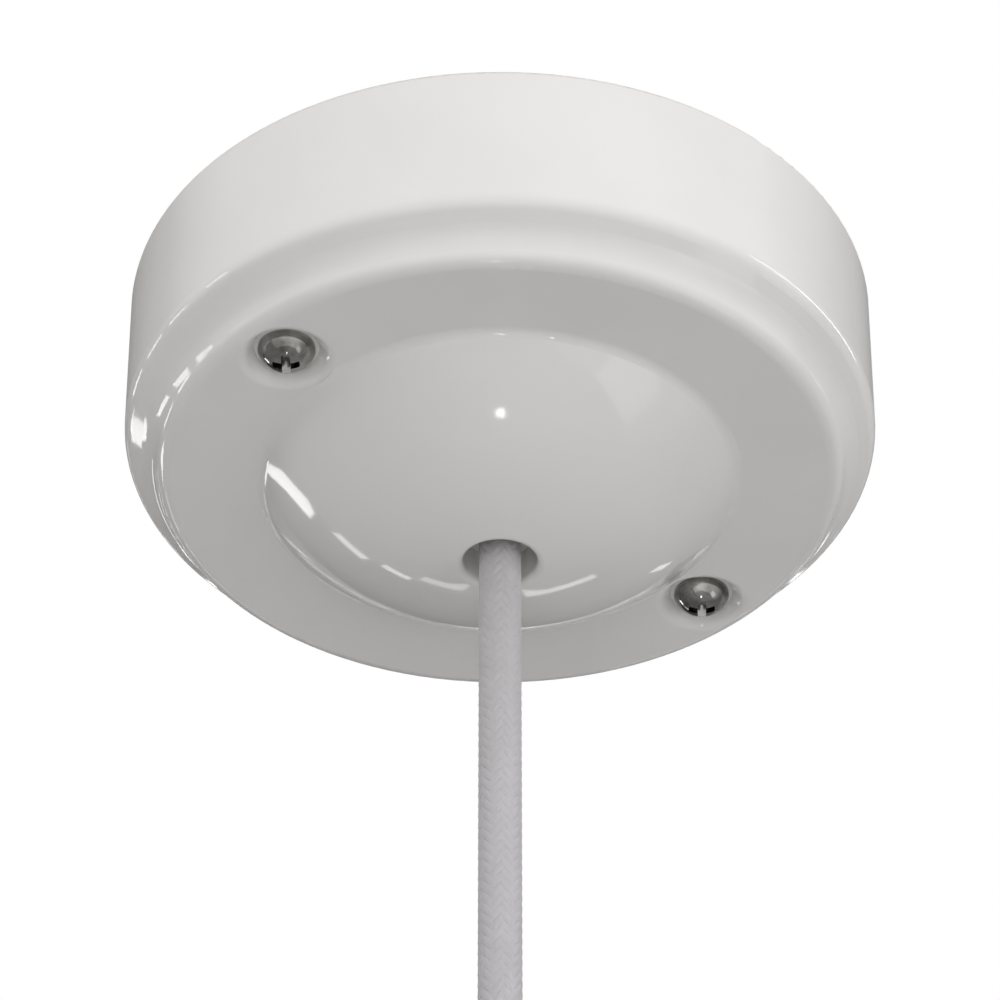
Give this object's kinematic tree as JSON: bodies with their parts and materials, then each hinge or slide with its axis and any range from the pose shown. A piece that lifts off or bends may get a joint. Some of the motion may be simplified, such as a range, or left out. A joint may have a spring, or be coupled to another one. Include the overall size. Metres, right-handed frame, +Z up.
{
  "type": "electrical ceiling rose",
  "caption": "Round glazed porcelain ceiling rose with a domed centre, a woven pendant cord, face screws, and a bracket, terminal block and cord grip behind the cover.",
  "frame": {"origin": "on the cord's axis in the ceiling plane, at the middle of the bracket's two ceiling slots", "axes": "+Z up into the ceiling, +X along the bracket and through the two cover screws, +Y towards the terminal block"},
  "size_m": [0.107, 0.107, 0.157],
  "materials": {
    "glaze": "glossy white glaze with a bare matt rim",
    "nickel": "bright nickel plate",
    "zinc": "zinc plated strip, lightly brushed",
    "earth_brass": "bright brass",
    "block_plastic": "natural nylon moulding",
    "terminal_brass": "turned brass",
    "clamp_steel": "zinc plated screws",
    "grip_plastic": "natural nylon moulding",
    "weave": "white woven yarn",
    "sleeving": "white shrunk sleeving",
    "sheath": "white cable sheath",
    "live_insulation": "brown insulation",
    "neutral_insulation": "blue insulation",
    "tinned_copper": "tinned copper",
    "collar_plastic": "grey moulded collar"
  },
  "bodies": {
    "root": {"porcelain_cover": "glaze", "cover_screws": "nickel", "mounting_bracket": "zinc", "earth_washer": "earth_brass", "earth_screw": "earth_brass", "terminal_block": "block_plastic", "block_screw": "clamp_steel", "live_sleeve": "terminal_brass", "neutral_sleeve": "terminal_brass", "terminal_screws": "clamp_steel", "cord_grip": "grip_plastic", "grip_screw": "clamp_steel", "cord": "weave", "cord_top_sleeving": "sleeving", "cord_end_sleeving": "sleeving", "sheath_top": "sheath", "sheath_end": "sheath", "live_core": "live_insulation", "neutral_core": "neutral_insulation", "ferrule_pins": "tinned_copper", "ferrule_collars": "collar_plastic", "live_tail": "live_insulation", "neutral_tail": "neutral_insulation", "tail_ferrule_pins": "tinned_copper", "tail_ferrule_collars": "collar_plastic"}
  },
  "joints": []
}
